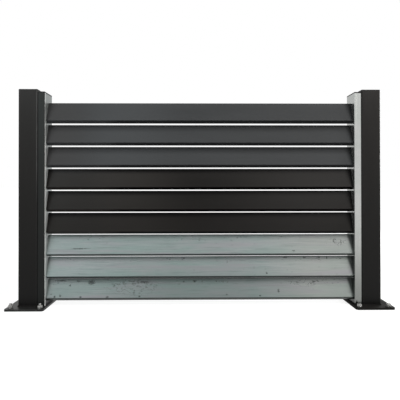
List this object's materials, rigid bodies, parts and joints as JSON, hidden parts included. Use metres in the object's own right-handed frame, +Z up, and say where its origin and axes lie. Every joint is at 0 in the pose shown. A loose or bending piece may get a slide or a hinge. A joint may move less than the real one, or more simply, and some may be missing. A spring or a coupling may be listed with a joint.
{
  "type": "louvred fence",
  "caption": "Louvred fence bay: sloping folded steel slats in grey, black and bare zinc between side rails on square black posts with bolt-down base plates.",
  "frame": {"origin": "centre of the left base plate's underside, where the left post stands on the ground", "axes": "+X along the fence to the right post, +Y from the front of the slats to the back, +Z up"},
  "size_m": [1.59, 0.16, 0.908],
  "materials": {
    "post_coat": "satin black powder coat",
    "cap_plastic": "matt black moulded plastic",
    "left_rail_zinc": "galvanised sheet with its front flange coated black",
    "right_rail_zinc": "bare galvanised sheet",
    "grey_coat": "matt anthracite coating",
    "black_coat": "matt warm black coating",
    "zinc_sheet": "bare galvanised sheet, streaked and scratched",
    "fastener_zinc": "zinc-plated steel"
  },
  "bodies": {
    "root": {"left_base_plate": "post_coat", "left_post": "post_coat", "left_post_cap": "cap_plastic", "left_side_rail": "left_rail_zinc", "left_rail_cap": "cap_plastic", "right_base_plate": "post_coat", "right_post": "post_coat", "right_post_cap": "cap_plastic", "right_side_rail": "right_rail_zinc", "right_rail_cap": "cap_plastic", "grey_slat_1": "grey_coat", "grey_slat_2": "grey_coat", "grey_slat_3": "grey_coat", "black_slat_1": "black_coat", "black_slat_2": "black_coat", "black_slat_3": "black_coat", "zinc_slat_1": "zinc_sheet", "zinc_slat_2": "zinc_sheet", "zinc_slat_3": "zinc_sheet"}
  },
  "joints": []
}
